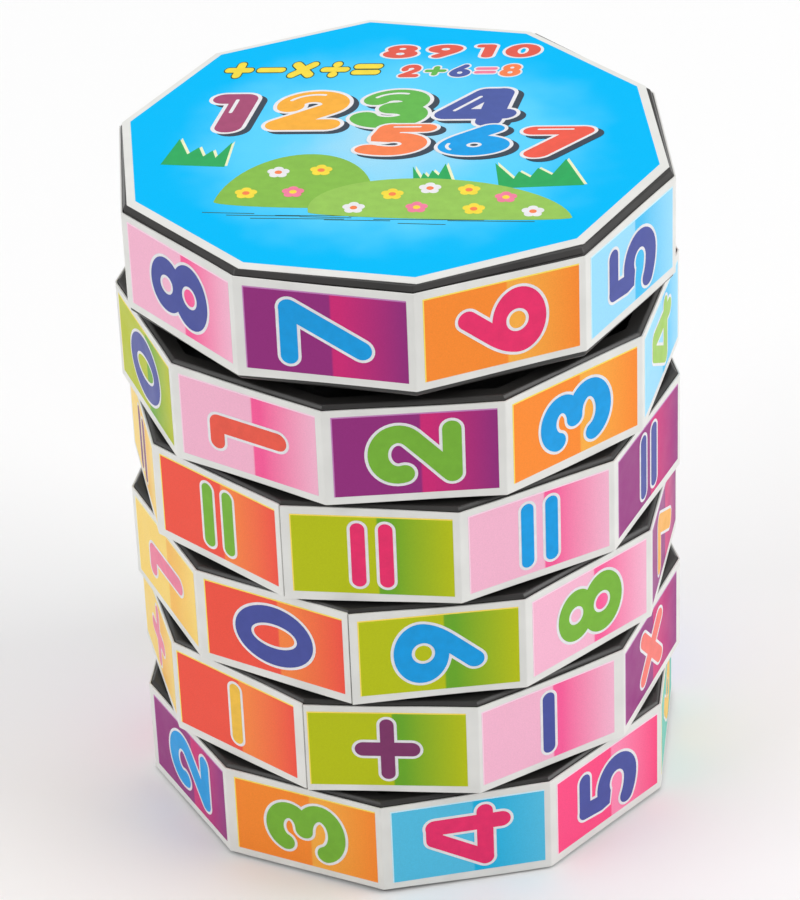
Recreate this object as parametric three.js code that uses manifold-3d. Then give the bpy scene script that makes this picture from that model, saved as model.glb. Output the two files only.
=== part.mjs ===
// Number cylinder puzzle: six ten-sided cups stacked on one upright spindle. Each cup carries a
// printed paper strip of ten panels, and every cup but the base turns freely to line up the sums.
//
// The frame is +Z up, with the origin on the spindle's axis at the face that the puzzle stands on.
// Lengths are millimetres and angles are degrees. A "corner radius" runs from the axis to a
// corner of a ten-sided outline, and an "apothem" from the axis to the middle of one of its sides.
import * as THREE from "three";
import { mergeVertices } from "three/addons/utils/BufferGeometryUtils.js";
import Module from "manifold-3d";

const wasm = await Module();
wasm.setup();

// ---------- driving dimensions ----------
const SIDES = 10;
const LABEL_CORNER_RADIUS = 30; // outside of the printed strip
const PITCH = 12.3; // from one cup to the next, up to the top cup
const LAYER_GAP = 0.3; // between a cup's rim and the floor above it
const LABEL_HEIGHT = 11.2;
const LABEL_END_GAP = 0.15; // from a strip's end to the corner where it meets the other end
const LABEL_THICKNESS = 0.25;
const GLUE = 0.05; // the film of glue under each strip and under the sticker
const WALL = 1.7;
const FLOOR = 1.6;
const EDGE = 0.3; // chamfer along a cup's outer edges

const SPINDLE_RADIUS = 4;
const RUNNING_CLEARANCE = 0.1;
const HUB_RADIUS = 7;
const HUB_GAP = 0.1; // between a hub and the floor that turns on it
const ROUND = 40; // sides of a round hub, bore or spindle

// The layers from the base up. "turn" is where the joint in the layer's strip stands, counted
// from +X about +Z. The cups are set at odd angles, as the puzzle is left after play.
const LAYERS = [
  { name: "base", turn: 108 },
  { name: "layer_5", turn: 236.6 },
  { name: "layer_4", turn: 247.2 },
  { name: "layer_3", turn: 234 },
  { name: "layer_2", turn: 171.9 },
  { name: "top", turn: 154.6 },
];

// ---------- worked-out dimensions ----------
const CORNER_PER_APOTHEM = 1 / Math.cos(Math.PI / SIDES);
const LABEL_APOTHEM = LABEL_CORNER_RADIUS / CORNER_PER_APOTHEM;
const CUP_APOTHEM = LABEL_APOTHEM - LABEL_THICKNESS - GLUE;
const INNER_APOTHEM = CUP_APOTHEM - WALL;
const CUP_HEIGHT = PITCH - LAYER_GAP;
const HUB_HEIGHT = PITCH - HUB_GAP;
const LIP = (CUP_HEIGHT - LABEL_HEIGHT) / 2; // bare plastic above and below the strip
const BORE_RADIUS = SPINDLE_RADIUS + RUNNING_CLEARANCE;

// ---------- the top cup ----------
const TOP_STANDOFF = 1; // its hub stands this far out below its floor, so the gap there is wider
const TOP_LIP = 0.8; // its strip sits higher on it, level with its rim
const TOP_RIM = TOP_LIP + LABEL_HEIGHT;
const TOP_LEVEL = PITCH * (LAYERS.length - 1) + TOP_STANDOFF;

// ---------- the base's socket and the spindle ----------
const BOSS_HEIGHT = 3; // solid part of the base's hub, under the socket
const HEX_FLATS = 9;
const HEX_CLEARANCE = 0.1;
const FOOT_CLEARANCE = 0.1; // under the spindle's foot and short of the hub's top

// ---------- screws ----------
const SCREW_RADIUS = 1.35;
const PILOT_RADIUS = 1.5; // the hole that the screw cuts its thread in, drawn clear of its core
const SCREW_HOLE_RADIUS = 1.7;
const HEAD_RADIUS = 3;
const HEAD_HEIGHT = 1.1;
const COUNTERBORE_RADIUS = 3.5;
const COUNTERBORE_DEPTH = 1.6;
const SCREW_LENGTH = 11;
const PILOT_DEPTH = 11;

// ---------- what clamps the stack, inside the top cup ----------
const TOP_HUB_HEIGHT = 3.4;
const SPINDLE_STOPS_SHORT = 0.5; // below the top cup's hub, so that the spring bears on the hub
const SPRING_RADIUS = 5.3; // to the middle of the wire
const WIRE_RADIUS = 0.4;
const SPRING_TURNS = 3.5;
const SPRING_RISE = 2.8; // of the middle of the wire, with the spring pressed as it is fitted
const SEAT_GAP = 0.1; // between one piece and the next that it presses on
const WASHER_RADIUS = 6.3;
const WASHER_THICKNESS = 0.6;

// ---------- the lid ----------
const LID_SEAT_GAP = 0.05;
const LID_RISE = 0.65; // from the seat to the flat top
const LID_STEP = 0.1; // upright edge under the bevel
const LID_BEVEL = 0.3;
const LID_PLATE = 1.5;
const SKIRT_DEPTH = 2.6;
const SKIRT_WALL = 1.2;
const SKIRT_CLEARANCE = 0.1;
const STICKER_APOTHEM = 27.85;
const STICKER_THICKNESS = 0.15;
const STICKER_GLUE = 0.02;

// ---------- materials ----------
const blackPlastic = { color: 0x252422, roughness: 0.42, metalness: 0 };
const whitePlastic = { color: 0xe8e6df, roughness: 0.4, metalness: 0 };
const printedPaper = { color: 0xe4e2dc, roughness: 0.35, metalness: 0 };
const printedBlue = { color: 0x12bdf8, roughness: 0.3, metalness: 0 };
const steel = { color: 0xb9bcc0, roughness: 0.3, metalness: 1 };

// ---------- helpers ----------

// The corner radius of a ten-sided outline, from its apothem.
const corner = (apothem) => apothem * CORNER_PER_APOTHEM;

// A profile of [radius, height] pairs turned about +Z. With few sides it has flats, and one of its
// corners stands on +X.
function turned(profile, sides = ROUND) {
  const points = profile.map(([r, z]) => new THREE.Vector2(r, z));
  const halfSide = Math.PI / sides;
  return new THREE.LatheGeometry(points, sides, halfSide).rotateX(Math.PI / 2);
}

function cylinder(radius, low, high, sides = ROUND) {
  return turned([[0, low], [radius, low], [radius, high], [0, high]], sides);
}

// A flat outline in X and Y, raised from low to high.
function raised(outline, low, high) {
  const shape = new THREE.Shape(outline);
  const options = { depth: high - low, bevelEnabled: false };
  return new THREE.ExtrudeGeometry(shape, options).translate(0, 0, low);
}

function solid(geometry) {
  const bare = geometry.clone();
  bare.deleteAttribute("normal");
  bare.deleteAttribute("uv");
  const merged = mergeVertices(bare, 1e-4);
  const vertProperties = merged.getAttribute("position").array;
  const triVerts = new Uint32Array(merged.index.array);
  return new wasm.Manifold(new wasm.Mesh({ numProp: 3, vertProperties, triVerts }));
}

function geometryOf(manifold) {
  const mesh = manifold.getMesh();
  const positions = new THREE.BufferAttribute(mesh.vertProperties, 3);
  const faces = new THREE.BufferAttribute(mesh.triVerts, 1);
  return new THREE.BufferGeometry().setAttribute("position", positions).setIndex(faces);
}

// One solid: the first geometry, with others joined to it and then others cut from it.
function joinAndCut(first, joined, cut) {
  let body = solid(first);
  for (const extra of joined) {
    body = body.add(solid(extra));
  }
  for (const tool of cut) {
    body = body.subtract(solid(tool));
  }
  return geometryOf(body);
}

function piece(name, geometry, finish) {
  const mesh = new THREE.Mesh(geometry, new THREE.MeshStandardMaterial(finish));
  mesh.name = name;
  return mesh;
}

// ---------- the cups ----------

// A ten-sided cup with a floor and no hub. Its bottom is at height 0.
function shell(rimHeight) {
  const outer = corner(CUP_APOTHEM);
  const inner = corner(INNER_APOTHEM);
  const profile = [
    [0, 0],
    [outer - EDGE, 0],
    [outer, EDGE],
    [outer, rimHeight - EDGE],
    [outer - EDGE, rimHeight],
    [inner, rimHeight],
    [inner, FLOOR],
    [0, FLOOR],
  ];
  return turned(profile, SIDES);
}

// A cup that turns on the spindle. Its hub runs from one height to another.
function turningCup(rimHeight, hubFoot, hubTop) {
  const hub = cylinder(HUB_RADIUS, hubFoot, hubTop);
  const bore = cylinder(BORE_RADIUS, hubFoot - 1, hubTop + 1);
  return joinAndCut(shell(rimHeight), [hub], [bore]);
}

// The hub of a middle cup stands a little above its rim and carries the next cup.
const middleCup = () => turningCup(CUP_HEIGHT, 0, HUB_HEIGHT);

const topCup = () => turningCup(TOP_RIM, -TOP_STANDOFF, TOP_HUB_HEIGHT);

function hexagon(flats, low, high) {
  const cornerRadius = flats / 2 / Math.cos(Math.PI / 6);
  return cylinder(cornerRadius, low, high, 6);
}

// The base doesn't turn on the spindle: a six-sided socket holds it, and a screw from below.
function baseCup() {
  const hub = cylinder(HUB_RADIUS, 0, HUB_HEIGHT);
  const socket = hexagon(HEX_FLATS + 2 * HEX_CLEARANCE, BOSS_HEIGHT, HUB_HEIGHT + 1);
  const screwHole = cylinder(SCREW_HOLE_RADIUS, -1, BOSS_HEIGHT + 1);
  const counterbore = cylinder(COUNTERBORE_RADIUS, -1, COUNTERBORE_DEPTH);
  return joinAndCut(shell(CUP_HEIGHT), [hub], [socket, screwHole, counterbore]);
}

// ---------- the printed paper ----------

// A strip wrapped once round a cup. Its two ends meet at the corner that faces local +X.
function labelStrip(low = LIP) {
  const outer = LABEL_CORNER_RADIUS;
  const inner = corner(LABEL_APOTHEM - LABEL_THICKNESS);
  const cornerAt = (radius, k) => {
    const angle = (2 * Math.PI * k) / SIDES;
    return new THREE.Vector2(radius * Math.cos(angle), radius * Math.sin(angle));
  };
  // The end of the strip: the joint's corner, moved along the side towards a neighbour.
  const endAt = (radius, neighbour) => {
    const start = cornerAt(radius, 0);
    const along = cornerAt(radius, neighbour).sub(start).normalize();
    return start.addScaledVector(along, LABEL_END_GAP);
  };
  const outline = [endAt(outer, 1)];
  for (let k = 1; k < SIDES; k += 1) {
    outline.push(cornerAt(outer, k));
  }
  outline.push(endAt(outer, SIDES - 1), endAt(inner, SIDES - 1));
  for (let k = SIDES - 1; k > 0; k -= 1) {
    outline.push(cornerAt(inner, k));
  }
  outline.push(endAt(inner, 1));
  return raised(outline, low, low + LABEL_HEIGHT);
}

function sticker() {
  return cylinder(corner(STICKER_APOTHEM), 0, STICKER_THICKNESS, SIDES);
}

// ---------- the lid ----------

// A plate with a bevelled flange that covers the rim, and a skirt that fits inside the cup.
// Height 0 is the underside of the flange.
function lid() {
  const skirtApothem = INNER_APOTHEM - SKIRT_CLEARANCE;
  const profile = [
    [0, LID_RISE - LID_PLATE],
    [corner(skirtApothem - SKIRT_WALL), LID_RISE - LID_PLATE],
    [corner(skirtApothem - SKIRT_WALL), -SKIRT_DEPTH],
    [corner(skirtApothem), -SKIRT_DEPTH],
    [corner(skirtApothem), 0],
    [corner(CUP_APOTHEM), 0],
    [corner(CUP_APOTHEM), LID_STEP],
    [corner(CUP_APOTHEM) - LID_BEVEL, LID_RISE],
    [0, LID_RISE],
  ];
  return turned(profile, SIDES);
}

// ---------- spindle, screws, washer and spring ----------

const SPINDLE_FOOT = BOSS_HEIGHT + FOOT_CLEARANCE;
const SPINDLE_TOP = TOP_LEVEL + TOP_HUB_HEIGHT - SPINDLE_STOPS_SHORT;
const HEX_TOP = HUB_HEIGHT - FOOT_CLEARANCE;

function spindle() {
  const post = cylinder(SPINDLE_RADIUS, SPINDLE_FOOT, SPINDLE_TOP);
  const foot = hexagon(HEX_FLATS, SPINDLE_FOOT, HEX_TOP);
  const pilot = (low, high) => cylinder(PILOT_RADIUS, low, high);
  const lowerPilot = pilot(SPINDLE_FOOT - 1, SPINDLE_FOOT + PILOT_DEPTH);
  const upperPilot = pilot(SPINDLE_TOP - PILOT_DEPTH, SPINDLE_TOP + 1);
  return joinAndCut(post, [foot], [lowerPilot, upperPilot]);
}

// A pan-head screw that points down, with the underside of its head at height 0.
function screw() {
  const tip = 1.2;
  const crownRadius = 2.1;
  const crownDrop = 0.35;
  const slotWidth = 0.7;
  const slotLength = 3.4;
  const slotDepth = 0.6;
  const profile = [
    [0, -SCREW_LENGTH],
    [SCREW_RADIUS * 0.4, -SCREW_LENGTH],
    [SCREW_RADIUS, -SCREW_LENGTH + tip],
    [SCREW_RADIUS, 0],
    [HEAD_RADIUS, 0],
    [HEAD_RADIUS, HEAD_HEIGHT - crownDrop],
    [crownRadius, HEAD_HEIGHT],
    [0, HEAD_HEIGHT],
  ];
  const slot = (x, y) => {
    const box = new THREE.BoxGeometry(x, y, 2 * slotDepth);
    return box.translate(0, 0, HEAD_HEIGHT);
  };
  const slots = [slot(slotLength, slotWidth), slot(slotWidth, slotLength)];
  return joinAndCut(turned(profile, 24), [], slots);
}

function washer() {
  const hole = SCREW_HOLE_RADIUS;
  const profile = [
    [hole, 0],
    [WASHER_RADIUS, 0],
    [WASHER_RADIUS, WASHER_THICKNESS],
    [hole, WASHER_THICKNESS],
    [hole, 0],
  ];
  return turned(profile, 32);
}

// The middle of the spring's wire, climbing from height 0.
class Helix extends THREE.Curve {
  getPoint(t, target = new THREE.Vector3()) {
    const angle = 2 * Math.PI * SPRING_TURNS * t;
    const x = SPRING_RADIUS * Math.cos(angle);
    const y = SPRING_RADIUS * Math.sin(angle);
    return target.set(x, y, SPRING_RISE * t);
  }
}

function spring() {
  const stepsPerTurn = 18;
  const section = new THREE.Shape().absarc(0, 0, WIRE_RADIUS, 0, 2 * Math.PI);
  return new THREE.ExtrudeGeometry(section, {
    extrudePath: new Helix(),
    steps: SPRING_TURNS * stepsPerTurn,
    curveSegments: 8,
    bevelEnabled: false,
  });
}

// ---------- assembly ----------

// A layer's group: it stands at its level and is turned as the puzzle is left.
function layerGroup(index, meshes, level = PITCH * index) {
  const group = new THREE.Group();
  group.position.z = level;
  group.rotation.z = THREE.MathUtils.degToRad(LAYERS[index].turn);
  group.add(...meshes);
  return group;
}

// The base layer holds the spindle in its socket, with a screw from below.
function baseLayer(index) {
  const cup = piece("base_cup", baseCup(), blackPlastic);
  const label = piece("base_label", labelStrip(), printedPaper);
  const post = piece("spindle", spindle(), whitePlastic);
  const footScrew = piece("foot_screw", screw(), steel);
  footScrew.rotation.x = Math.PI;
  footScrew.position.z = COUNTERBORE_DEPTH - SEAT_GAP;
  return layerGroup(index, [cup, label, post, footScrew]);
}

function turningLayer(index) {
  const { name } = LAYERS[index];
  const cup = piece(`${name}_cup`, middleCup(), blackPlastic);
  const label = piece(`${name}_label`, labelStrip(), printedPaper);
  return layerGroup(index, [cup, label]);
}

// The top layer's cup is shut by a lid, which carries the sticker.
function topLayer(index) {
  const seat = TOP_RIM + LID_SEAT_GAP;
  const cup = piece("top_cup", topCup(), blackPlastic);
  const label = piece("top_label", labelStrip(TOP_LIP), printedPaper);
  const cover = piece("top_lid", lid(), blackPlastic);
  cover.position.z = seat;
  const picture = piece("top_sticker", sticker(), printedBlue);
  picture.position.z = seat + LID_RISE + STICKER_GLUE;
  return layerGroup(index, [cup, label, cover, picture], TOP_LEVEL);
}

// What presses the stack together. On the top cup's hub stand a washer, the spring, another
// washer, and the head of the screw in the spindle's top.
function clamp() {
  const lowerWasher = piece("lower_washer", washer(), steel);
  lowerWasher.position.z = TOP_LEVEL + TOP_HUB_HEIGHT + SEAT_GAP;
  const springFoot = lowerWasher.position.z + WASHER_THICKNESS + SEAT_GAP;
  const coil = piece("tension_spring", spring(), steel);
  coil.position.z = springFoot + WIRE_RADIUS;
  const upperWasher = piece("upper_washer", washer(), steel);
  upperWasher.position.z = springFoot + SPRING_RISE + 2 * WIRE_RADIUS + SEAT_GAP;
  const topScrew = piece("top_screw", screw(), steel);
  topScrew.position.z = upperWasher.position.z + WASHER_THICKNESS + SEAT_GAP;
  return [lowerWasher, coil, upperWasher, topScrew];
}

function buildPuzzle() {
  const puzzle = new THREE.Group();
  const lastIndex = LAYERS.length - 1;
  puzzle.add(baseLayer(0));
  for (let index = 1; index < lastIndex; index += 1) {
    puzzle.add(turningLayer(index));
  }
  puzzle.add(topLayer(lastIndex), ...clamp());
  return puzzle;
}

export default buildPuzzle();
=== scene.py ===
import math
import random

import bmesh
import bpy
from mathutils import Matrix, Vector
from mathutils.geometry import delaunay_2d_cdt


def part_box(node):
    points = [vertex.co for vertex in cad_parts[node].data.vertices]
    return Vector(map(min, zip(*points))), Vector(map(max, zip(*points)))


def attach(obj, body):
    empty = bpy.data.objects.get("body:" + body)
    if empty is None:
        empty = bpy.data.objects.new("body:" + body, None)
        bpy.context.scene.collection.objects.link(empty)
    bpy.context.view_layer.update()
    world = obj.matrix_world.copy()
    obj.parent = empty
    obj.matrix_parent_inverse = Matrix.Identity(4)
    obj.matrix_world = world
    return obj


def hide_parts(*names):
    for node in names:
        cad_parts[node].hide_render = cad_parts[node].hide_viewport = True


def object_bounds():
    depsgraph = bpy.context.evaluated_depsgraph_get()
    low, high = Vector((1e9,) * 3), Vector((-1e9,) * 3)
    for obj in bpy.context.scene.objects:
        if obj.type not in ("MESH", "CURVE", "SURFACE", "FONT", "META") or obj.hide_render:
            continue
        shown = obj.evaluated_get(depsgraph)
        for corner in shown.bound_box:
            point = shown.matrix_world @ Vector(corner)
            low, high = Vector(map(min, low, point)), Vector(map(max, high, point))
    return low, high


# How the number cylinder puzzle looks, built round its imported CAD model. The cups, the lid, the
# spindle and the metal pieces are the CAD's own. The printed strips and the sticker are made here.
# The frame is the CAD's, with +Z up. Drawings are in millimetres, and MM turns them into metres.
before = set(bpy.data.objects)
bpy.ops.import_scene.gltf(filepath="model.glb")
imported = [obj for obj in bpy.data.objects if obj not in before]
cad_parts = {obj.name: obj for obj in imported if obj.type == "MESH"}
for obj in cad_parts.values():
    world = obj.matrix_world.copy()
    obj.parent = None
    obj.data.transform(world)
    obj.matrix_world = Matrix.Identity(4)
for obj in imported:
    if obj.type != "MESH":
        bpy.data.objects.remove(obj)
cad_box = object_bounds()

MM = 0.001
SIDES = 10
SIDE_ANGLE = 2 * math.pi / SIDES

# The layers from the base up: the name of the body, the signs or digits on its ten panels, and the
# colour of each. Both run from the joint in the strip, anticlockwise seen from above.
LAYERS = {
    "base": ("0123456789", "hot blue sky green hot blue yellow sky red green"),
    "layer_5": ("+-x:+-x:+-", "plum blue coral sky yellow hot green blue rose yellow"),
    "layer_4": ("9876543210", "sky green amber hot yellow sky rose green rose blue"),
    "layer_3": ("==========", "hot sky blue green hot yellow sky amber plum green"),
    "layer_2": ("0123456789", "blue red green sky lime blue amber hot blue green"),
    "top": ("9876543210", "hot blue sky hot blue yellow green sky rose blue"),
}

# ---------- sizes of the print, in millimetres ----------
PAPER_THICKNESS = 0.18
PAPER_EDGE = 0.03  # rounding of the paper's cut edges
FOLD_RADIUS = 0.22  # inside a fold
STRIP_END_GAP = 0.08  # from a strip's end to the corner where it meets the other end
FOLD_STEPS = 4
FLAT_STEPS = 5  # cuts across each flat side, so that its edges can wander
STRIP_SKEW = 0.16  # how much higher a strip ends than it starts
EDGE_WAVES = ((3, 0.1), (7, 0.06))  # how a cut edge wanders: waves round the strip, and their reach
INK_STEP = 0.02  # each coat of print stands this much above the one under it
COATS = 3
PANEL_WIDTH = 16.8
PANEL_HEIGHT = 9.5
PANEL_LIFT = 0.07  # of a panel's middle above the strip's
OUTLINE = 0.32  # white edge round a digit
# How far each layer's print is out of register with its folds, to the right.
REGISTER = {
    "base": 0.18, "layer_5": -0.45, "layer_4": 0.1,
    "layer_3": 0.15, "layer_2": 0.05, "top": 0.1,
}

# ---------- colours, as they look on screen ----------
INKS = {
    "blue": (72, 82, 160),
    "sky": (3, 160, 233),
    "hot": (240, 45, 108),
    "green": (122, 183, 55),
    "lime": (160, 205, 80),
    "yellow": (247, 196, 70),
    "amber": (250, 178, 60),
    "red": (240, 92, 74),
    "coral": (249, 120, 110),
    "rose": (244, 130, 160),
    "plum": (128, 52, 104),
    "white": (236, 235, 238),
    "maroon": (168, 76, 116),
    "leaf_green": (100, 184, 78),
    "violet_blue": (76, 92, 164),
    "orange": (249, 132, 80),
    "brick": (228, 92, 76),
    "sun": (248, 222, 66),
    "cream": (240, 244, 200),
    "shadow": (58, 70, 84),
    "leaf": (40, 170, 92),
    "spring": (152, 200, 88),
    "meadow": (136, 190, 74),
    "outline": (44, 80, 56),
}
# The panels from the joint in the strip: the ground, the tone that starts at the middle and fades
# back into it, and the ink that shows along two edges because the printing plates don't quite meet.
YELLOW_FRINGE = (252, 226, 96)
ROSE_FRINGE = (252, 214, 232)
PANELS = {
    "lime": ((186, 196, 0), (106, 170, 34), YELLOW_FRINGE),
    "pink": ((246, 182, 208), (250, 92, 154), ROSE_FRINGE),
    "purple": ((148, 40, 124), (208, 36, 118), (198, 130, 190)),
    "orange": ((252, 140, 44), (250, 174, 66), YELLOW_FRINGE),
    "light_blue": ((150, 218, 250), (60, 190, 240), (206, 240, 252)),
    "hot_pink": ((252, 72, 130), (252, 136, 176), ROSE_FRINGE),
    "teal": ((96, 196, 178), (20, 160, 150), YELLOW_FRINGE),
    "violet": ((150, 128, 206), (104, 84, 180), ROSE_FRINGE),
    "yellow": ((252, 216, 112), (250, 190, 84), (252, 238, 170)),
    "red": ((244, 84, 66), (250, 134, 66), YELLOW_FRINGE),
    "cyan": ((82, 194, 232), (2, 180, 228), (206, 240, 252)),
}
PANEL_ORDER = list(PANELS)[:SIDES]
BASE_SWAP = {"light_blue": "cyan"}  # the base's strip is printed in a deeper blue
TONE_EDGE = 0.535  # where a panel's second tone starts, along its width
TONE_EDGE_SOFT = 0.006  # to either side of that edge
TONE_FADE = 0.6  # where the second tone starts to fade back
TONE_END = 0.99
FRINGE = 0.008  # of a panel's width, and twice as much of its height
INK_GLOSS = 0.2  # specular level
SKY_GLOSS = 0.03


def linear(colour):
    """A colour given as it looks on screen, as the linear values that Blender works in."""
    values = []
    for part in colour:
        share = part / 255
        values.append(share / 12.92 if share <= 0.04045 else ((share + 0.055) / 1.055) ** 2.4)
    return (*values, 1)


# ================================ materials ================================


def add_node(tree, kind, inputs=None, **settings):
    """Adds a shader node. Each input is a socket to join to or a value to set."""
    node = tree.nodes.new("ShaderNode" + kind)
    for name, value in settings.items():
        setattr(node, name, value)
    for name, value in (inputs or {}).items():
        if isinstance(value, bpy.types.NodeSocket):
            tree.links.new(value, node.inputs[name])
        else:
            node.inputs[name].default_value = value
    return node


def new_material(name):
    """A material, its node tree and its shader."""
    material = bpy.data.materials.new(name)
    material.use_nodes = True
    tree = material.node_tree
    return material, tree, tree.nodes["Principled BSDF"]


def place_in_mm(tree):
    """The surface's place in its own piece, in millimetres."""
    place = add_node(tree, "TexCoord").outputs["Object"]
    scaled = add_node(tree, "VectorMath", {0: place, "Scale": 1 / MM}, operation="SCALE")
    return scaled.outputs["Vector"]


def noise(tree, place, per_mm, detail=2.0, roughness=0.5):
    """Fractal noise, from 0 to 1, with so many lumps to a millimetre."""
    inputs = {"Vector": place, "Scale": per_mm, "Detail": detail, "Roughness": roughness}
    return add_node(tree, "TexNoise", inputs).outputs["Fac"]


def spread(tree, value, low, high):
    """Turns noise's useful middle into a range of values."""
    inputs = {"Value": value, "From Min": 0.3, "From Max": 0.7, "To Min": low, "To Max": high}
    return add_node(tree, "MapRange", inputs).outputs["Result"]


def blend_colours(tree, share, first, second, mode="MIX"):
    """Two colours mixed. share, first and second are sockets or values."""
    node = add_node(tree, "Mix", data_type="RGBA", blend_type=mode)
    for number, value in ((0, share), (6, first), (7, second)):
        socket = node.inputs[number]
        if isinstance(value, bpy.types.NodeSocket):
            tree.links.new(value, socket)
        else:
            socket.default_value = value
    return node.outputs[2]


def add_bump(tree, shader, height, depth_mm, strength=1.0):
    inputs = {"Height": height, "Distance": depth_mm * MM, "Strength": strength}
    tree.links.new(add_node(tree, "Bump", inputs).outputs["Normal"], shader.inputs["Normal"])


def moulded_plastic(name, colour, dust_and_highlight, roughness):
    """Injection-moulded plastic: fine spark-eroded grain, faint flow marks, and edges painted paler
    as a painted highlight.
    """
    material, tree, shader = new_material(name)
    place = place_in_mm(tree)
    grain = noise(tree, place, 9.0, detail=3.0)
    flow = noise(tree, place, 0.12, detail=3.0)
    # Sharp edges are painted in the paler colour: a painted highlight, not wear. The dull patches use
    # the same colour as dust.
    edges = add_node(tree, "NewGeometry").outputs["Pointiness"]
    painted_edge_span = {"Value": edges, "From Min": 0.52, "From Max": 0.62, "To Max": 0.5}
    painted_edge_highlight = add_node(tree, "MapRange", painted_edge_span).outputs["Result"]
    patches = spread(tree, flow, 0.0, 0.35)
    ground = blend_colours(tree, patches, linear(colour), linear(dust_and_highlight))
    finish = blend_colours(tree, painted_edge_highlight, ground, linear(dust_and_highlight))
    tree.links.new(finish, shader.inputs["Base Color"])
    tree.links.new(spread(tree, flow, roughness - 0.05, roughness + 0.06), shader.inputs["Roughness"])
    shader.inputs["IOR"].default_value = 1.5
    add_bump(tree, shader, grain, 0.012, 0.5)
    return material


def zinc_steel(name):
    """Bright plated steel, finely turned, with a slightly cloudy plating."""
    material, tree, shader = new_material(name)
    place = place_in_mm(tree)
    cloud = noise(tree, place, 0.6, detail=4.0)
    fine = noise(tree, place, 16.0, detail=2.0)
    colour = blend_colours(tree, cloud, linear((176, 180, 186)), linear((206, 206, 200)))
    tree.links.new(colour, shader.inputs["Base Color"])
    tree.links.new(spread(tree, cloud, 0.22, 0.38), shader.inputs["Roughness"])
    shader.inputs["Metallic"].default_value = 1
    add_bump(tree, shader, fine, 0.004, 0.4)
    return material


def coated_paper(name, colour):
    """Coated label paper: near white, with a faint fibre under a satin coat."""
    material, tree, shader = new_material(name)
    place = place_in_mm(tree)
    fibre = noise(tree, place, 5.0, detail=5.0, roughness=0.65)
    cloud = noise(tree, place, 0.25, detail=2.0)
    darker = tuple(0.965 * part for part in colour)
    tone = blend_colours(tree, spread(tree, cloud, 0, 1), linear(colour), linear(darker))
    tree.links.new(tone, shader.inputs["Base Color"])
    tree.links.new(spread(tree, cloud, 0.4, 0.5), shader.inputs["Roughness"])
    add_bump(tree, shader, fibre, 0.006, 0.35)
    return material


def printed(tree, shader, tone, grain_depth=0.06, gloss=INK_GLOSS):
    """Finishes an ink: the tone gets the print's fine grain, and a satin coat with a little fibre."""
    place = place_in_mm(tree)
    grain = noise(tree, place, 7.0, detail=4.0, roughness=0.7)
    cloud = noise(tree, place, 0.4, detail=2.0)
    value = spread(tree, grain, 1 - grain_depth, 1 + grain_depth)
    grained = add_node(tree, "HueSaturation", {"Value": value, "Color": tone}).outputs["Color"]
    tree.links.new(grained, shader.inputs["Base Color"])
    tree.links.new(spread(tree, cloud, 0.36, 0.46), shader.inputs["Roughness"])
    shader.inputs["Specular IOR Level"].default_value = gloss
    add_bump(tree, shader, grain, 0.005, 0.3)


def flat_ink(name, colour):
    """One printed colour, a little uneven as it is laid down."""
    material, tree, shader = new_material(name)
    place = place_in_mm(tree)
    deeper = tuple(0.955 * part for part in colour)
    patches = spread(tree, noise(tree, place, 0.9, detail=3.0), 0, 1)
    tone = blend_colours(tree, patches, linear(colour), linear(deeper))
    printed(tree, shader, tone, 0.035)
    return material


def panel_ink(name, ground, accent, fringe):
    """A panel's two tones: its ground, then an edge, then the accent that fades back to the ground.
    A thin fringe runs along its left and upper edges."""
    material, tree, shader = new_material(name)
    place = add_node(tree, "SeparateXYZ", {"Vector": add_node(tree, "TexCoord").outputs["UV"]})
    ramp = add_node(tree, "ValToRGB", {"Fac": place.outputs["X"]})
    stops = ramp.color_ramp.elements
    stops[0].position, stops[0].color = TONE_EDGE - TONE_EDGE_SOFT, linear(ground)
    stops[1].position, stops[1].color = TONE_EDGE + TONE_EDGE_SOFT, linear(accent)
    stops.new(TONE_FADE).color = linear(accent)
    stops.new(TONE_END).color = linear(ground)
    left = add_node(tree, "Math", {0: place.outputs["X"], 1: FRINGE}, operation="LESS_THAN")
    up_to = 1 - 2 * FRINGE
    above = add_node(tree, "Math", {0: place.outputs["Y"], 1: up_to}, operation="GREATER_THAN")
    edge = add_node(tree, "Math", {0: left.outputs[0], 1: above.outputs[0]}, operation="MAXIMUM")
    tone = blend_colours(tree, edge.outputs[0], ramp.outputs["Color"], linear(fringe))
    printed(tree, shader, tone)
    return material


def sky_ink(name):
    """The sticker's sky: pale in the middle and full blue towards its edge."""
    material, tree, shader = new_material(name)
    middle = add_node(tree, "TexCoord").outputs["UV"]
    away = add_node(tree, "VectorMath", {0: middle}, operation="LENGTH").outputs["Value"]
    soft = noise(tree, place_in_mm(tree), 0.16, detail=2.0)
    wavy = add_node(tree, "Math", {0: away, 1: spread(tree, soft, -0.06, 0.06)}, operation="ADD")
    ramp = add_node(tree, "ValToRGB", {"Fac": wavy.outputs["Value"]})
    ramp.color_ramp.interpolation = "EASE"
    stops = ramp.color_ramp.elements
    stops[0].position, stops[0].color = 0.08, linear((156, 216, 242))
    stops[1].position, stops[1].color = 0.92, linear((0, 184, 244))
    stops.new(0.5).color = linear((92, 206, 250))
    printed(tree, shader, ramp.outputs["Color"], 0.05, SKY_GLOSS)
    return material


# ================================ flat shapes ================================
# A shape is a list of outlines, each a list of (x, y) points in millimetres.


def arc(x, y, rx, ry, start, end, step=9):
    """Points along an ellipse's arc, with angles in degrees."""
    count = max(2, math.ceil(abs(end - start) / step))
    angles = [math.radians(start + (end - start) * i / count) for i in range(count + 1)]
    return [(x + rx * math.cos(a), y + ry * math.sin(a)) for a in angles]


def ellipse(x, y, rx, ry):
    return arc(x, y, rx, ry, 0, 360, 7.5)[:-1]


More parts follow.
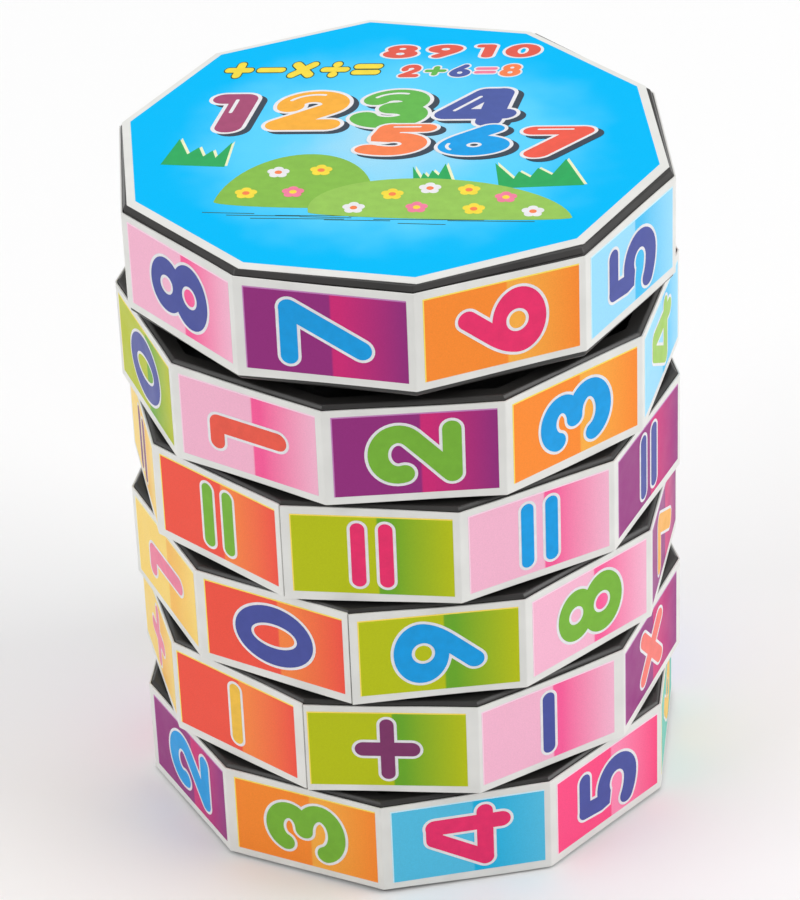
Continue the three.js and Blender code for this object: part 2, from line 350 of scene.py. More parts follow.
def bend(start, corner, end, steps=8):
    """Points along a smooth bend that leaves start towards a corner and arrives at end from it."""
    points = []
    for i in range(steps + 1):
        t = i / steps
        a, b, c = (1 - t) ** 2, 2 * t * (1 - t), t * t
        points.append(tuple(a * p + b * q + c * r for p, q, r in zip(start, corner, end)))
    return points


def stroke(path, half_width):
    """The outline of a round-ended pen stroke along a smooth path."""
    points = [Vector(p) for p in path]
    last = len(points) - 1
    offsets = []
    for i in range(last + 1):
        along = points[min(i + 1, last)] - points[max(i - 1, 0)]
        offsets.append(Vector((along.y, -along.x)).normalized() * half_width)

    def cap(centre, offset):
        start = math.degrees(math.atan2(offset.y, offset.x))
        return arc(centre.x, centre.y, offset.length, offset.length, start, start + 180, 15)[1:-1]

    right = [(p + offset)[:] for p, offset in zip(points, offsets)]
    left = [(p - offset)[:] for p, offset in zip(points, offsets)]
    return right + cap(points[-1], offsets[-1]) + left[::-1] + cap(points[0], -offsets[0])


def pen(path, half_width):
    """A pen stroke's outlines. A fat stroke's outline would cross itself in a bend, so every step
    of its path gets an outline of its own."""
    if half_width < FAT_PEN:
        return [stroke(path, half_width)]
    return [stroke(ends, half_width) for ends in zip(path, path[1:])]


def moved(outlines, dx=0.0, dy=0.0, turn=0.0, scale_x=1.0, scale_y=1.0, lean=0.0):
    """Outlines scaled, leant to the right, turned by degrees and moved, in that order."""
    cos, sin = math.cos(math.radians(turn)), math.sin(math.radians(turn))
    result = []
    for outline in outlines:
        points = []
        for x, y in outline:
            sx, sy = x * scale_x + y * scale_y * lean, y * scale_y
            points.append((dx + sx * cos - sy * sin, dy + sx * sin + sy * cos))
        result.append(points)
    return result


def anticlockwise(outline):
    area = sum(a[0] * b[1] - b[0] * a[1] for a, b in zip(outline, outline[1:] + outline[:1]))
    return outline if area > 0 else outline[::-1]


def triangulated(outlines, wanted):
    """Cuts outlines where they cross and splits what they cover into triangles. It keeps those
    for which wanted, given the set of outlines that cover the triangle, is true."""
    points, rings = [], []
    for outline in map(anticlockwise, outlines):
        rings.append(list(range(len(points), len(points) + len(outline))))
        points += [Vector(p) for p in outline]
    result = delaunay_2d_cdt(points, [], rings, 0, 1e-5)
    corners, triangles, covers = result[0], result[2], result[5]
    kept = [t for t, cover in zip(triangles, covers) if wanted(set(cover))]
    return [tuple(c) for c in corners], kept


def rim_of(triangles):
    """The directed edges round a set of triangles."""
    edges = {(t[i], t[(i + 1) % 3]) for t in triangles for i in range(3)}
    return [(a, b) for a, b in edges if (b, a) not in edges]


def rings_of(corners, rim):
    """Joins a rim's edges end to end into closed outlines."""
    following = {}
    for a, b in sorted(rim):
        following.setdefault(a, []).append(b)
    rings = []
    while following:
        at = min(following)
        ring = []
        while at in following:
            ring.append(corners[at])
            ends = following[at]
            next_at = ends.pop()
            if not ends:
                del following[at]
            at = next_at
        rings.append(ring)
    return rings


def region(solids, holes=()):
    """One flat region of triangles: all that the solid outlines cover, less the holes."""
    count = len(solids)

    def inside(cover):
        return any(i < count for i in cover) and not any(i >= count for i in cover)

    corners, triangles = triangulated([*solids, *holes], inside)
    rings = rings_of(corners, rim_of(triangles))
    return triangulated(rings, lambda cover: len(cover) % 2 == 1)


# ================================ digits and signs ================================
# Each glyph is drawn upright round (0, 0), about 7 wide and 9.5 high. It gives its solid outlines
# and its holes. grow makes it fatter all round, for the white edge.
PEN = 1.04  # half the width of a digit's stroke
FAT_PEN = 1.6  # a half width from which a stroke is fat
BAR_PEN = 0.75  # half the width of a sign's stroke
SIGN_REACH = 3.15  # from the middle of a sign to the centre of its stroke's end


def glyph_0(grow):
    return [ellipse(0, 0, 3.72 + grow, 4.75 + grow)], [ellipse(0, 0, 1.55 - grow, 2.8 - grow)]


def glyph_1(grow):
    flag = stroke([(-1.95, 3.86), (0.2, 3.86)], 0.88 + grow)
    return [flag, stroke([(0.2, 3.7), (0.2, -3.7)], PEN + grow)], []


def glyph_2(grow):
    bowl = arc(-0.05, 1.72, 2.42, 2.08, 196, -40) + [(-0.45, -1.75), (-2.3, -3.45)]
    foot = stroke([(-2.55, -3.75), (2.65, -3.75)], 0.98 + grow)
    heel = stroke([(-0.45, -1.75), (-2.55, -3.7)], PEN + grow)
    return [*pen(bowl, PEN + grow), heel, foot], []


def glyph_3(grow):
    upper = arc(-0.15, 1.95, 2.2, 1.75, 163, -90)
    lower = arc(-0.15, -1.75, 2.72, 1.95, 90, -163)
    return pen(upper, PEN + grow) + pen(lower, PEN + grow), []


def glyph_4(grow):
    slope = stroke([(-3.05, -1.85), (0.15, 3.7)], 0.92 + grow)
    top = stroke([(0.15, 3.7), (1.75, 3.7)], 0.92 + grow)
    post = stroke([(1.75, 3.7), (1.75, -3.7)], 0.98 + grow)
    bar = stroke([(-3.05, -1.85), (3.1, -1.85)], 0.9 + grow)
    return [slope, top, post, bar], []


def glyph_5(grow):
    top = stroke([(-1.45, 3.85), (2.45, 3.85)], 0.88 + grow)
    back = stroke([(-1.6, 3.75), (-1.95, 1.05)], PEN + grow)
    bowl = arc(-0.4, -1.5, 2.45, 2.25, 128, -90) + arc(-0.4, -0.9, 4.2, 2.85, -98, -130)
    return [top, back, *pen([(-1.95, 1.05), *bowl], PEN + grow)], []


def glyph_6(grow):
    stem = [(1.2, 3.7), *bend((-1.0, 1.2), (-2.65, -0.6), (-2.65, -1.85))]
    solids = [ellipse(0, -1.85, 3.72 + grow, 2.92 + grow), *pen(stem, PEN + grow)]
    return solids, [ellipse(0, -1.65, 1.3 - grow, 1.22 - grow)]


def glyph_7(grow):
    top = stroke([(-2.85, 3.83), (2.7, 3.83)], 0.92 + grow)
    return [top, stroke([(2.6, 3.7), (-1.45, -3.65)], 1.08 + grow)], []


def glyph_8(grow):
    upper = ellipse(0, 2.05, 3.15 + grow, 2.62 + grow)
    lower = ellipse(0, -1.75, 3.7 + grow, 2.9 + grow)
    upper_hole = ellipse(0, 2.1, 1.1 - grow, 1.05 - grow)
    return [upper, lower], [upper_hole, ellipse(0, -1.7, 1.3 - grow, 1.22 - grow)]


def glyph_9(grow):
    solids, holes = glyph_6(grow)
    return moved(solids, turn=180), moved(holes, turn=180)


def glyph_equals(grow):
    bars = [stroke([(-SIGN_REACH, y), (SIGN_REACH, y)], BAR_PEN + grow) for y in (-1.45, 1.45)]
    return bars, []


def glyph_minus(grow):
    return [stroke([(-SIGN_REACH, 0), (SIGN_REACH, 0)], BAR_PEN + grow)], []


def glyph_plus(grow):
    upright = stroke([(0, -2.6), (0, 2.6)], 0.88 + grow)
    return [upright, *glyph_minus(grow)[0]], []


def glyph_times(grow):
    reach = 2.55
    falling = stroke([(-reach, reach), (reach, -reach)], 0.92 + grow)
    rising = stroke([(-reach, -reach), (reach, reach)], 0.92 + grow)
    return [falling, rising], []


def glyph_divided(grow):
    dots = [ellipse(0, y, 0.98 + grow, 0.98 + grow) for y in (-2.45, 2.45)]
    return [*glyph_minus(grow)[0], *dots], []


GLYPHS = {
    "0": glyph_0, "1": glyph_1, "2": glyph_2, "3": glyph_3, "4": glyph_4,
    "5": glyph_5, "6": glyph_6, "7": glyph_7, "8": glyph_8, "9": glyph_9,
    "=": glyph_equals, "-": glyph_minus, "+": glyph_plus, "x": glyph_times, ":": glyph_divided,
}


# ================================ meshes ================================


def raise_region(mesh, flat, place, bottom, top, material_index, uv_scale=(1.0, 1.0)):
    """Adds a flat region to a bmesh as a closed plate between two heights. place turns a drawing's
    x, y and height into a point in the frame."""
    corners, triangles = flat
    uv_layer = mesh.loops.layers.uv.verify()
    used = sorted({c for t in triangles for c in t})
    tops = {c: mesh.verts.new(place(*corners[c], top)) for c in used}
    bottoms = {c: mesh.verts.new(place(*corners[c], bottom)) for c in used}
    drawing = {}
    for c in used:
        uv = (corners[c][0] / uv_scale[0], corners[c][1] / uv_scale[1])
        drawing[tops[c]] = drawing[bottoms[c]] = uv
    faces = [[tops[c] for c in t] for t in triangles]
    faces += [[bottoms[c] for c in reversed(t)] for t in triangles]
    faces += [[tops[b], tops[a], bottoms[a], bottoms[b]] for a, b in rim_of(triangles)]
    for corners_of_face in faces:
        face = mesh.faces.new(corners_of_face)
        face.material_index = material_index
        for loop in face.loops:
            loop[uv_layer].uv = drawing[loop.vert]


def make_piece(name, mesh, materials, body, replaced=None):
    """Turns a bmesh into a piece that rides on a body, and may stand for a CAD node."""
    data = bpy.data.meshes.new(name)
    mesh.to_mesh(data)
    mesh.free()
    piece = bpy.data.objects.new(name, data)
    bpy.context.scene.collection.objects.link(piece)
    for material in materials:
        data.materials.append(material)
    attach(piece, body)
    if replaced:
        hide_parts(replaced)


# ================================ the printed strips ================================


class Strip:
    """Where a layer's strip lies: the angle of its joint, its apothem, and its low and high edges."""

    def __init__(self, node):
        low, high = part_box(node)
        rim = {(round(v.co.x, 6), round(v.co.y, 6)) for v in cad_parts[node].data.vertices}
        corner_radius = max(math.hypot(x, y) for x, y in rim)
        whole = [(x, y) for x, y in rim if math.hypot(x, y) > corner_radius - 0.01 * MM]
        # Every corner is whole but the one with the joint, so together they point away from it.
        self.turn = math.atan2(-sum(y for _, y in whole), -sum(x for x, _ in whole))
        self.apothem = corner_radius / MM * math.cos(SIDE_ANGLE / 2)
        self.low, self.high = low.z / MM, high.z / MM

    def middle_of_side(self, side):
        return self.turn + (side + 0.5) * SIDE_ANGLE

    def lift(self, side, along):
        """How far the strip has climbed, at a share of the way along a side."""
        return STRIP_SKEW * ((side + along) / SIDES - 0.5)


def paper_section(low, high):
    """The strip's cross-section as (depth, height) points, with rounded cut edges."""
    thick, edge = PAPER_THICKNESS, PAPER_EDGE
    section = []
    for x, z, start in ((thick, low, -90), (thick, high, 0), (0, high, 90), (0, low, 180)):
        centre_x = x - edge if x else edge
        centre_z = z - edge if z == high else z + edge
        section += arc(centre_x, centre_z, edge, edge, start, start + 90, 30)
    return section


def fold_stations(strip):
    """Points along the strip, each with the way out from it there and the share of its length."""
    paper_face = strip.apothem - COATS * INK_STEP
    inner = paper_face - PAPER_THICKNESS
    half_side = paper_face * math.tan(SIDE_ANGLE / 2)
    fold_centre = (inner - FOLD_RADIUS) / math.cos(SIDE_ANGLE / 2)
    flat_end = (inner - FOLD_RADIUS) * math.tan(SIDE_ANGLE / 2)

    def on_side(side, along):
        out = strip.middle_of_side(side)
        ray, right = Vector((math.cos(out), math.sin(out))), Vector((-math.sin(out), math.cos(out)))
        return ray * inner + right * along - ray * FOLD_RADIUS, out

    stations = [(*on_side(0, STRIP_END_GAP - half_side), 0.0)]
    for side in range(SIDES):
        for i in range(1, FLAT_STEPS + 1):
            part = 2 * i / (FLAT_STEPS + 1) - 1
            stations.append((*on_side(side, part * flat_end), (side + 0.5 + 0.5 * part) / SIDES))
        if side == SIDES - 1:
            break
        corner = strip.turn + (side + 1) * SIDE_ANGLE
        centre = Vector((math.cos(corner), math.sin(corner))) * fold_centre
        for i in range(FOLD_STEPS + 1):
            turned = (i / FOLD_STEPS - 0.5) * SIDE_ANGLE
            stations.append((centre, corner + turned, (side + 1) / SIDES))
    stations.append((*on_side(SIDES - 1, half_side - STRIP_END_GAP), 1.0))
    return stations


def wander(phase, share):
    """How far a cut edge strays from straight, at a share of the strip's length."""
    return sum(reach * math.sin(count * (2 * math.pi * share + phase)) for count, reach in EDGE_WAVES)


def make_paper(strip, body, material):
    """The folded strip itself: one closed ribbon with soft cut edges and creased corners."""
    mesh = bmesh.new()
    section = paper_section(strip.low, strip.high)
    middle = (strip.low + strip.high) / 2
    rings = []
    for centre, out, share in fold_stations(strip):
        ray = Vector((math.cos(out), math.sin(out)))
        climb = STRIP_SKEW * (share - 0.5)
        ring = []
        for depth, height in section:
            flat = centre + ray * (FOLD_RADIUS + depth)
            height += climb + wander(strip.high if height > middle else strip.low, share)
            ring.append(mesh.verts.new(Vector((flat.x, flat.y, height)) * MM))
        rings.append(ring)
    count = len(section)
    for near, far in zip(rings, rings[1:]):
        for i in range(count):
            j = (i + 1) % count
            mesh.faces.new((near[i], far[i], far[j], near[j]))
    mesh.faces.new(rings[0])
    mesh.faces.new(rings[-1][::-1])
    bmesh.ops.recalc_face_normals(mesh, faces=mesh.faces)
    make_piece(f"{body}_paper", mesh, [material], body, f"{body}_label")


def side_place(strip, side, shift=0.0):
    """Turns a drawing on one side of the strip, and a height above its paper, into a point."""
    out = strip.middle_of_side(side)
    ray, right = Vector((math.cos(out), math.sin(out))), Vector((-math.sin(out), math.cos(out)))
    paper_face = strip.apothem - COATS * INK_STEP
    side_width = 2 * paper_face * math.tan(SIDE_ANGLE / 2)
    middle = (strip.low + strip.high) / 2 + PANEL_LIFT

    def place(x, y, height):
        flat = ray * (paper_face + height) + right * (x + shift)
        z = middle + y + strip.lift(side, (x + shift) / side_width + 0.5)
        return Vector((flat.x, flat.y, z)) * MM

    return place


def print_strip(strip, body, signs, colours, materials):
    """The three coats of print on a strip: the panels, the white edges and the digits."""
    panels, edges, digits = bmesh.new(), bmesh.new(), bmesh.new()
    panel = region([[(0, 0), (PANEL_WIDTH, 0), (PANEL_WIDTH, PANEL_HEIGHT), (0, PANEL_HEIGHT)]])
    used = sorted(set(colours))
    for side, (sign, colour) in enumerate(zip(signs, colours)):
        place = side_place(strip, side, REGISTER[body])

        def panel_place(x, y, height):
            return place(x - PANEL_WIDTH / 2, y - PANEL_HEIGHT / 2, height)

        def sign_place(x, y, height):
            return place(-y, x, height)

        sunk = -INK_STEP / 2
        raise_region(panels, panel, panel_place, sunk, INK_STEP, side, (PANEL_WIDTH, PANEL_HEIGHT))
        raise_region(edges, drawn(sign, OUTLINE), sign_place, sunk, 2 * INK_STEP, 0)
        raise_region(digits, drawn(sign, 0.0), sign_place, sunk, 3 * INK_STEP, used.index(colour))
    swap = BASE_SWAP if body == "base" else {}
    grounds = [materials[f"panel_{swap.get(name, name)}"] for name in PANEL_ORDER]
    make_piece(f"{body}_print_panels", panels, grounds, body)
    make_piece(f"{body}_print_edges", edges, [materials["white"]], body)
    inks = [materials[c] for c in used]
    make_piece(f"{body}_print_digits", digits, inks, body)


drawn_glyphs = {}


def drawn(sign, grow):
    """A glyph's region. Each is worked out once."""
    key = (sign, grow)
    if key not in drawn_glyphs:
        drawn_glyphs[key] = region(*GLYPHS[sign](grow))
    return drawn_glyphs[key]


# ================================ the sticker ================================
# Its drawing is in millimetres round its middle, with x along the rows of numerals. Everything on
# it is a plate that stands some coats above the paper. Where two overlap, the upper has more coats.
COAT = 0.0075
STICKER_PAPER = 0.05
STICKER_TURN = 1.0  # degrees that it is stuck on askew
STICKER_SHIFT = (-0.1, 0.12)  # off the middle of the lid
ART_TURN = -14  # degrees from +X to the drawing's x
SKY_APOTHEM = 26.95
SKY_COATS = 0.6
SKY_SHIFT = (-0.05, 0.36)  # how far the print is out of register with the cut edge
BUBBLE, PLAIN = 0.42, 0.3  # how much fatter than the panels' the numerals are
BUBBLE_RIM, PLAIN_RIM = 0.42, 0.7
SHADOW_SHIFT = (0.6, -0.55)
SHINE_PEN = 0.2
LEAN = 0.2  # to the right, for each millimetre up
OUTLINE_PEN = 0.2

# The big numerals from left to right, with their inks and places. The sizes are shares of a
# panel digit's width and height.
UPPER_NUMERALS = (
    ("1", "maroon", (-17.0, 7.2)), ("2", "amber", (-9.0, 7.6)),
    ("3", "leaf_green", (-0.2, 7.9)), ("4", "violet_blue", (8.8, 8.1)),
)
LOWER_NUMERALS = (("5", "orange", (0.7, 0.9)), ("6", "sky", (8.8, 0.7)), ("7", "red", (16.9, 0.1)))
UPPER_SIZE, LOWER_SIZE = (0.98, 0.84), (0.9, 0.66)
UPPER_COATS, LOWER_COATS = 1, 7  # under the first numeral of each row
SHINES = {
    "1": [(-0.5, 3.5), (-0.5, 0.2)],
    "2": arc(-0.05, 1.75, 2.85, 2.55, 155, 75),
    "3": arc(-0.15, 1.95, 2.6, 2.2, 150, 70),
    "4": [(-2.4, -0.9), (-0.3, 2.8)],
    "5": [(-1.2, 4.25), (1.7, 4.25)],
    "6": arc(0, -1.85, 3.1, 2.3, 165, 215),
    "7": [(-2.4, 4.25), (1.5, 4.25)],
}

# The small rows above them: what they say, and where each stands.
YELLOW_SIGNS = "+-x:="
YELLOW_START = (-17.3, 17.1)
YELLOW_STEP = 3.45
YELLOW_SIZE = (0.36, 0.48)
YELLOW_FAT, YELLOW_RIM = 0.38, 0.35
RED_NUMERALS = (("8", 0.0), ("9", 4.7), ("1", 9.4), ("0", 13.2))
RED_LINE = 21.2
RED_SIZE = (0.47, 0.31)
SUM = "2+6=8"
SUM_INKS = ("brick", "leaf_green", "violet_blue", "rose", "orange")
SUM_START = (1.2, 16.6)
SUM_STEP = 2.7
SUM_SIZE = (0.28, 0.29)

# The hills from the far one: coats, ink, middle of the foot, half width, height and lean.
HILLS = (
    (1, "meadow", -9.6, -12.6, 8.0, 10.6, 0.1),
    (3, "spring", 5.6, -15.2, 13.4, 7.6, -0.25),
)
HILL_FOOT = 0.9  # how far the foot bulges down
HILL_TURN = -3

# The ground lines start along a row that falls a little, in turn on it and in two rows under it.
GROUND_PEN = 0.07
GROUND_LINES = 11
GROUND_START = (-18.5, -14.4)
GROUND_STEP = (2.5, -0.16)
GROUND_ROWS, GROUND_ROW_GAP = 3, 0.5

# The flowers' places, and the inks of their petals.
FLOWERS = (
    (-14.4, -10.4, "sun"), (-11.4, -6.0, "white"), (-7.0, -5.6, "sun"), (-9.6, -10.2, "rose"),
    (0.6, -10.8, "sun"), (4.4, -9.6, "white"), (8.4, -10.0, "sun"), (12.2, -11.6, "rose"),
    (-3.2, -13.6, "white"), (3.2, -13.6, "rose"), (9.0, -14.0, "sun"), (15.0, -14.6, "white"),
)
FLOWER_SIZE = 1.05
PETALS = 5
PETAL_REACH = 0.62  # from the flower's middle to a petal's
PETAL_RADIUS = 0.5
FLOWER_EYE = 0.36
TUFT = (
    (-3.5, 0.1), (-2.0, 5.7), (-0.9, 2.3), (0.2, 3.8), (0.8, 1.8),
    (1.7, 3.1), (2.1, 1.5), (3.6, 4.9), (3.2, -0.5),
)
TUFT_RIM_SHIFT = (0.28, 0.2)
# The tufts' places, and their scales across and up.
TUFTS = ((-20.3, -4.2, 1.0, 1.0), (15.6, -9.2, -1.3, 1.0), (4.6, -8.6, -0.6, 0.75))


class Sticker:
    """The sticker's art as it is built up: one bmesh for a group of plates, and their inks."""

    def __init__(self, node, inks):
        self.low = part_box(node)[0].z / MM
        self.inks = inks
        self.groups = {}

    def place(self, x, y, height):
        """A point of the drawing, at a height above the sticker's underside."""
        out = Matrix.Rotation(math.radians(ART_TURN), 2) @ Vector((x, y)) + Vector(STICKER_SHIFT)
        return Vector((out.x, out.y, self.low + height)) * MM

    def add(self, group, coats, ink, solids, holes=(), uv_scale=(1.0, 1.0)):
        """Adds a shape to a group, as a plate that stands some coats above the paper."""
        mesh, used = self.groups.setdefault(group, (bmesh.new(), []))
        if ink not in used:
            used.append(ink)
        flat = region(solids, holes)
        bottom, top = STICKER_PAPER - COAT / 2, STICKER_PAPER + coats * COAT
        raise_region(mesh, flat, self.place, bottom, top, used.index(ink), uv_scale)

    def finish(self):
        """Turns every group into a piece."""
        for group, (mesh, used) in self.groups.items():
            materials = [self.inks[ink] for ink in used]
            make_piece(f"sticker_{group}", mesh, materials, "top")


def decagon(apothem, turn):
    """A ten-sided outline with a corner at an angle, in degrees."""
    corner_radius = apothem / math.cos(SIDE_ANGLE / 2)
    return moved([arc(0, 0, corner_radius, corner_radius, 0, 360, 36)[:-1]], turn=turn)[0]


def add_sticker_paper(sticker, material, turn):
    """The sticker's white paper, as wide as the CAD's."""
    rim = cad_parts["top_sticker"].data.vertices
    apothem = max(math.hypot(v.co.x, v.co.y) for v in rim) / MM * math.cos(SIDE_ANGLE / 2)
    mesh = bmesh.new()
    raise_region(mesh, region([decagon(apothem, turn)]), sticker.place, 0, STICKER_PAPER, 0)
    make_piece("sticker_paper", mesh, [material], "top", "top_sticker")


def add_numeral(sticker, sign, ink, place, size, coats, fat, rim, rim_ink="white"):
    """A leaning numeral or sign with a rim round it."""
    for group, grow, tone in (("rims", fat + rim, rim_ink), ("numerals", fat, ink)):
        solids, holes = (moved(part, *place, 0, *size, LEAN) for part in GLYPHS[sign](grow))
        coats += 1
        sticker.add(group, coats, tone, solids, holes)


def add_bubble_numeral(sticker, sign, ink, place, size, coats):
    """A fat numeral with a white rim, a drop shadow and a shine mark."""
    shadow = [p + shift for p, shift in zip(place, SHADOW_SHIFT)]
    fattest = GLYPHS[sign](BUBBLE + BUBBLE_RIM)
    solids, holes = (moved(part, *shadow, 0, *size, LEAN) for part in fattest)
    sticker.add("shadows", coats, "shadow", solids, holes)
    add_numeral(sticker, sign, ink, place, size, coats, BUBBLE, BUBBLE_RIM)
    shine = moved([stroke(SHINES[sign], SHINE_PEN)], *place, 0, *size, LEAN)
    sticker.add("shines", coats + 3, "white", shine)


def add_big_numerals(sticker):
    """Two rows of bubble numerals. Each overlaps the one before it, and the lower row the upper."""
    for coats, (sign, ink, place) in enumerate(UPPER_NUMERALS, UPPER_COATS):
        add_bubble_numeral(sticker, sign, ink, place, UPPER_SIZE, coats)
    for coats, (sign, ink, place) in enumerate(LOWER_NUMERALS, LOWER_COATS):
        add_bubble_numeral(sticker, sign, ink, place, LOWER_SIZE, coats)


def add_small_rows(sticker):
    """Three short rows above the big numerals: yellow signs, red numerals and a coloured sum."""
    x, y = YELLOW_START
    yellow = (YELLOW_SIZE, 1, YELLOW_FAT, YELLOW_RIM, "outline")
    for i, sign in enumerate(YELLOW_SIGNS):
        add_numeral(sticker, sign, "sun", (x + YELLOW_STEP * i, y), *yellow)
    for sign, x in RED_NUMERALS:
        add_numeral(sticker, sign, "brick", (x, RED_LINE), RED_SIZE, 1, PLAIN, PLAIN_RIM)
    x, y = SUM_START
    for i, (sign, ink) in enumerate(zip(SUM, SUM_INKS)):
        add_numeral(sticker, sign, ink, (x + SUM_STEP * i, y), SUM_SIZE, 1, PLAIN, PLAIN_RIM)


def add_hill(sticker, coats, ink, x, y, half_width, height, lean):
    """A hill with a thin dark line round it: a rounded top on a nearly flat foot."""
    top = arc(0, 0, half_width, height, 0, 180, 6)
    foot = arc(0, 0, half_width, HILL_FOOT, 180, 360, 12)[1:-1]
    outline = moved([top + foot], x, y, HILL_TURN, 1, 1, lean)[0]
    sticker.add("lines", coats, "outline", [stroke([*outline, outline[0]], OUTLINE_PEN)])
    sticker.add("fills", coats + 1, ink, [outline])


def add_flower(sticker, x, y, ink):
    """A flower of five petals and a contrasting eye."""
    petals = []
    for i in range(PETALS):
        angle = 2 * math.pi * (i + 0.25) / PETALS
        out = (PETAL_REACH * math.cos(angle), PETAL_REACH * math.sin(angle))
        petals.append(ellipse(*out, PETAL_RADIUS, PETAL_RADIUS))
    sticker.add("fills", 5, ink, moved(petals, x, y, 0, FLOWER_SIZE, FLOWER_SIZE))
    eye = FLOWER_EYE * FLOWER_SIZE
    sticker.add("fills", 6, "sun" if ink == "rose" else "orange", [ellipse(x, y, eye, eye)])


def add_tuft(sticker, x, y, scale_x, scale_y):
    """A spiky tuft of grass with a pale rim along one side."""
    rim_x, rim_y = TUFT_RIM_SHIFT
    sticker.add("lines", 1, "cream", moved([TUFT], x + rim_x, y + rim_y, 0, scale_x, scale_y))
    sticker.add("fills", 2, "leaf", moved([TUFT], x, y, 0, scale_x, scale_y))


def add_ground_lines(sticker):
    """Loose pen strokes under the hills."""
    random.seed(5)
    for i in range(GROUND_LINES):
        x, y = (start + step * i for start, step in zip(GROUND_START, GROUND_STEP))
        y += random.uniform(-0.2, 0.2) - GROUND_ROW_GAP * (i % GROUND_ROWS)
        length = 5 + 2 * (i % 4) + random.uniform(-0.5, 0.5)
        sticker.add("lines", 1, "outline", [stroke([(x, y), (x + length, y - 0.3)], GROUND_PEN)])


def make_sticker(inks, paper, lid_corner):
    """The sticker on the lid, given the angle of one of the lid's corners in degrees."""
    sticker = Sticker("top_sticker", inks)
    turn = lid_corner - ART_TURN + STICKER_TURN
    add_sticker_paper(sticker, paper, turn)
    sky = moved([decagon(SKY_APOTHEM, turn)], *SKY_SHIFT)
    sticker.add("sky", SKY_COATS, "sky_ground", sky, uv_scale=(SKY_APOTHEM, SKY_APOTHEM))
    add_ground_lines(sticker)
    for hill in HILLS:
        add_hill(sticker, *hill)
    for flower in FLOWERS:
        add_flower(sticker, *flower)
    for tuft in TUFTS:
        add_tuft(sticker, *tuft)
    add_big_numerals(sticker)
    add_small_rows(sticker)
    sticker.finish()


# ================================ the camera ================================
VIEW_AZIMUTH = math.radians(-10.0)
VIEW_ELEVATION = math.radians(32.29)
VIEW_ROLL = math.radians(-2.31)
VIEW_DISTANCE = 448.1 * MM
LENS = 164.56
AXIS_OFFSET = 0.54 * MM  # the puzzle's axis stands this far right of the middle of the view


def make_camera():
    """A long lens that looks down on the middle of the puzzle, a little askew."""
    cos, sin = math.cos(VIEW_AZIMUTH), math.sin(VIEW_AZIMUTH)
    flat = math.cos(VIEW_ELEVATION)
    back = Vector((sin * flat, -cos * flat, math.sin(VIEW_ELEVATION)))
    aim = Vector((0, 0, (cad_box[0].z + cad_box[1].z) / 2)) - Vector((cos, sin, 0)) * AXIS_OFFSET
    data = bpy.data.cameras.new("camera")
    data.lens = LENS
    camera = bpy.data.objects.new("camera", data)
    bpy.context.scene.collection.objects.link(camera)
    camera.location = aim + back * VIEW_DISTANCE
    facing = (-back).to_track_quat("-Z", "Y").to_matrix()
    camera.rotation_euler = (facing @ Matrix.Rotation(VIEW_ROLL, 3, "Z")).to_euler()
    bpy.context.scene.camera = camera


# ================================ the studio ================================
FLOOR_REACH = 3
FLOOR_PAINT = (244, 244, 244)
WORLD_LIGHT = 0.45
WORLD_AS_SEEN = 1.0  # beyond the floor's edge the world looks as pale as the floor
# The lamps' names, places in metres, sizes in metres and powers in watts.
SOFTBOXES = (
    ("left_softbox", (-3.0, -0.6, 1.8), 2.4, 40),
    ("right_softbox", (2.8, -1.0, 1.8), 2.4, 61),
    ("top_softbox", (0.2, 1.0, 3.6), 2.8, 48),
)


def make_floor():
    """A plain pale floor under the puzzle."""
    mesh = bmesh.new()
    bmesh.ops.create_grid(mesh, x_segments=1, y_segments=1, size=FLOOR_REACH)
    data = bpy.data.meshes.new("floor")
    mesh.to_mesh(data)
    mesh.free()
    floor = bpy.data.objects.new("floor", data)
    floor.location.z = cad_box[0].z
    bpy.context.scene.collection.objects.link(floor)
    material, _, shader = new_material("floor_paint")
    shader.inputs["Base Color"].default_value = linear(FLOOR_PAINT)
    shader.inputs["Roughness"].default_value = 0.8
    data.materials.append(material)


def add_softbox(name, place, size, power):
    """A square lamp that faces the middle of the puzzle."""
    data = bpy.data.lights.new(name, "AREA")
    data.size = size
    data.energy = power
    lamp = bpy.data.objects.new(name, data)
    lamp.location = place
    middle = (cad_box[0] + cad_box[1]) / 2
    lamp.rotation_euler = (middle - Vector(place)).to_track_quat("-Z", "Y").to_euler()
    bpy.context.scene.collection.objects.link(lamp)


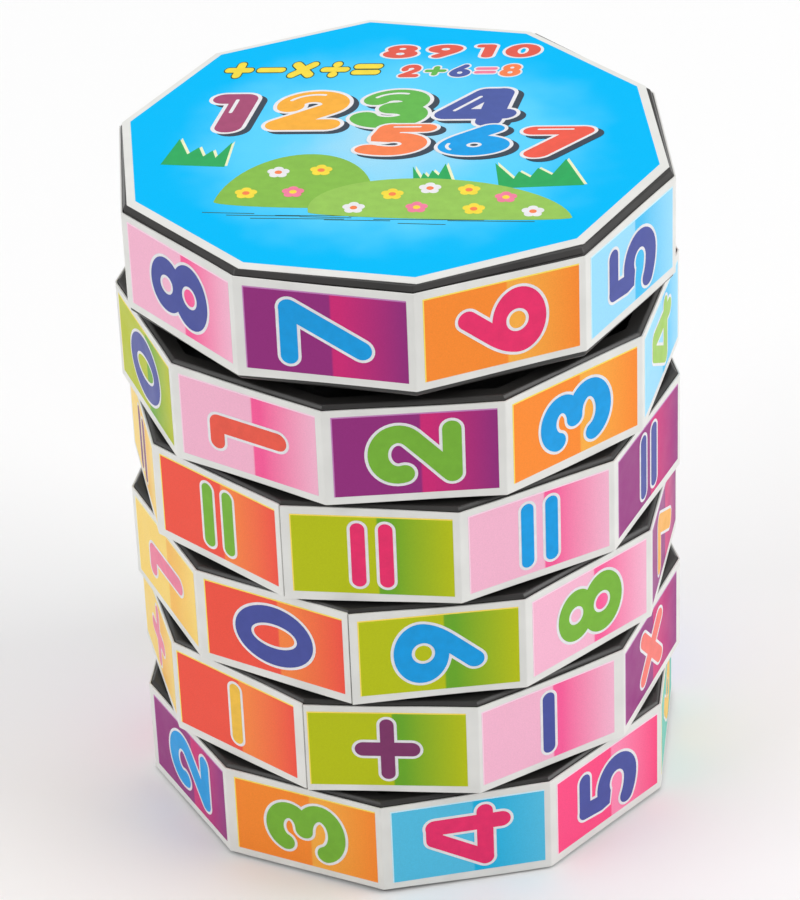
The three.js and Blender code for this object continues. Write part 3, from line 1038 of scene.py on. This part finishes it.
def light_studio():
    """The lamps, and an even light from all round."""
    for softbox in SOFTBOXES:
        add_softbox(*softbox)
    world = bpy.data.worlds.new("studio")
    world.use_nodes = True
    tree = world.node_tree
    seen = add_node(tree, "LightPath").outputs["Is Camera Ray"]
    strength = {"Value": seen, "To Min": WORLD_LIGHT, "To Max": WORLD_AS_SEEN}
    tree.nodes["Background"].inputs["Color"].default_value = (1, 1, 1, 1)
    lit = add_node(tree, "MapRange", strength).outputs["Result"]
    tree.links.new(lit, tree.nodes["Background"].inputs["Strength"])
    bpy.context.scene.world = world
    bpy.context.scene.view_settings.view_transform = "Standard"


# ================================ putting it together ================================
PAPER_WHITE = (230, 230, 226)
# The plastics: the colour, the colour of its dull patches and of its edges, which are painted paler
# as a painted highlight, and the roughness.
BLACK_PLASTIC = ((38, 37, 36), (70, 68, 66), 0.36)
WHITE_PLASTIC = ((226, 224, 216), (238, 236, 230), 0.42)
CUP_EDGE, SPINDLE_EDGE, STEEL_EDGE = 0.12, 0.1, 0.05  # rounding of the CAD solids' edges
STEEL_NODES = ("foot_screw", "top_screw", "lower_washer", "upper_washer", "tension_spring")


def soften(node, width_mm, material):
    """Gives a CAD node its material and small rounded edges."""
    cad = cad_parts[node]
    cad.data.materials.clear()
    cad.data.materials.append(material)
    weld = cad.modifiers.new("weld", "WELD")
    weld.merge_threshold = 0.001 * MM
    bevel = cad.modifiers.new("bevel", "BEVEL")
    bevel.width = width_mm * MM
    bevel.segments = 3
    bevel.limit_method = "ANGLE"
    bevel.angle_limit = math.radians(30)


make_camera()

inks = {name: flat_ink(f"ink_{name}", colour) for name, colour in INKS.items()}
for name, tones in PANELS.items():
    inks[f"panel_{name}"] = panel_ink(f"ink_panel_{name}", *tones)
inks["sky_ground"] = sky_ink("ink_sky_ground")
paper = coated_paper("label_paper", PAPER_WHITE)
black = moulded_plastic("black_plastic", *BLACK_PLASTIC)
white = moulded_plastic("white_plastic", *WHITE_PLASTIC)
steel = zinc_steel("zinc_steel")

strips = {body: Strip(f"{body}_label") for body in LAYERS}
for body, (signs, colours) in LAYERS.items():
    make_paper(strips[body], body, paper)
    print_strip(strips[body], body, signs, colours.split(), inks)
    soften(f"{body}_cup", CUP_EDGE, black)
# The lid's corners stand over the corners of the strip under it.
make_sticker(inks, paper, math.degrees(strips["top"].turn))

soften("top_lid", CUP_EDGE, black)
soften("spindle", SPINDLE_EDGE, white)
for node in STEEL_NODES:
    soften(node, STEEL_EDGE, steel)

make_floor()
light_studio()
